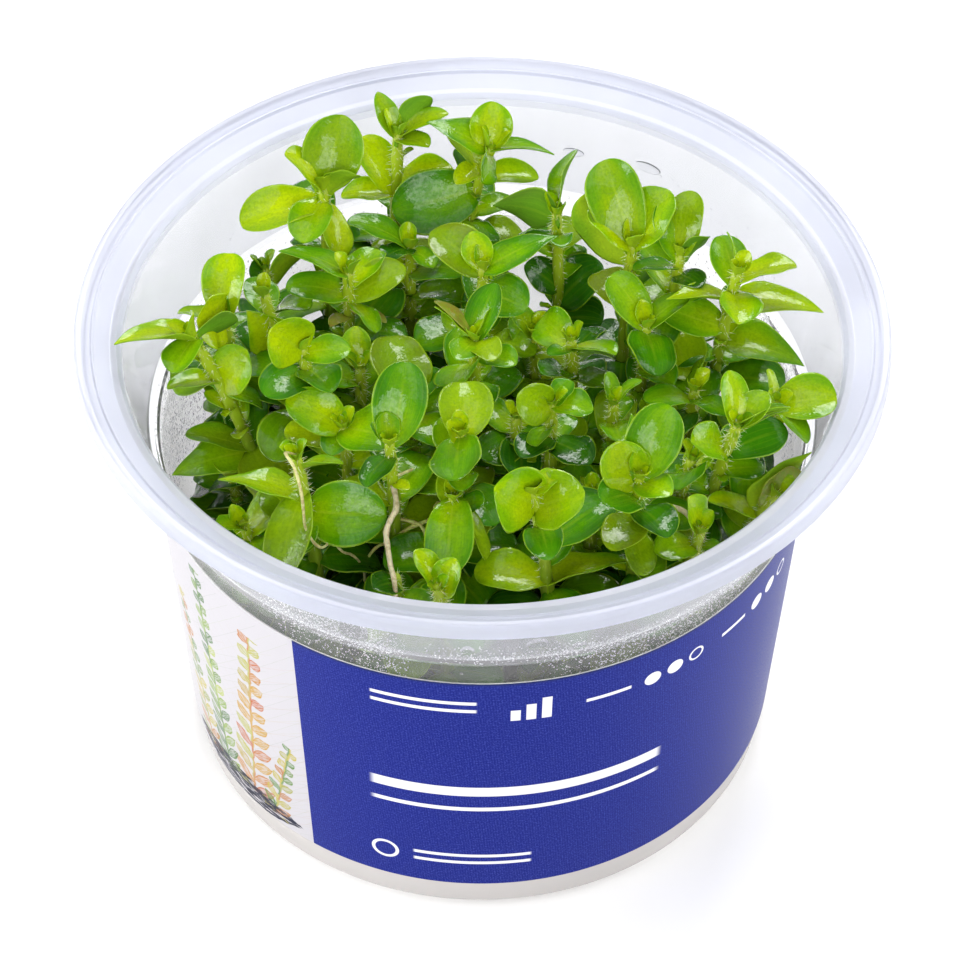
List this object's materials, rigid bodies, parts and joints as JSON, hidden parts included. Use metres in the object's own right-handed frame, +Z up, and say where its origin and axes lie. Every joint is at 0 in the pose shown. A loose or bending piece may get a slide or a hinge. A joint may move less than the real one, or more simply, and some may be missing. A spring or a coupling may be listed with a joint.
{
  "type": "potted lemon bacopa",
  "caption": "Round clear plastic culture cup with a printed label band, holding a layer of nutrient gel and a dense tuft of young lemon bacopa shoots that reaches the rim.",
  "frame": {"origin": "centre of the cup's base, on the surface that the cup stands on", "axes": "+Z up along the cup's axis; the label's printed side with the title strip faces -Y, and its white panel is towards -X"},
  "size_m": [0.1186, 0.1186, 0.0902],
  "materials": {
    "clear_plastic": "clear, slightly milky moulded plastic with condensation inside",
    "label_print": "satin printed paper, royal blue with a white panel",
    "gel": "translucent wet jelly",
    "leaf": "fresh green, wet and glossy in places"
  },
  "bodies": {
    "root": {"cup": "clear_plastic", "label": "label_print", "gel": "gel", "shoot_01": "leaf", "shoot_02": "leaf", "shoot_03": "leaf", "shoot_04": "leaf", "shoot_05": "leaf", "shoot_06": "leaf", "shoot_07": "leaf", "shoot_08": "leaf", "shoot_09": "leaf", "shoot_10": "leaf", "shoot_11": "leaf", "shoot_12": "leaf", "shoot_13": "leaf", "shoot_14": "leaf", "shoot_15": "leaf", "shoot_16": "leaf", "shoot_17": "leaf", "shoot_18": "leaf", "shoot_19": "leaf", "shoot_20": "leaf", "shoot_21": "leaf", "shoot_22": "leaf", "shoot_23": "leaf", "shoot_24": "leaf", "shoot_25": "leaf", "shoot_26": "leaf", "shoot_27": "leaf", "shoot_28": "leaf", "shoot_29": "leaf", "shoot_30": "leaf", "shoot_31": "leaf", "shoot_32": "leaf", "shoot_33": "leaf", "shoot_34": "leaf", "shoot_35": "leaf", "shoot_36": "leaf", "shoot_37": "leaf", "shoot_38": "leaf", "shoot_39": "leaf", "shoot_40": "leaf", "shoot_41": "leaf", "shoot_42": "leaf"}
  },
  "joints": []
}
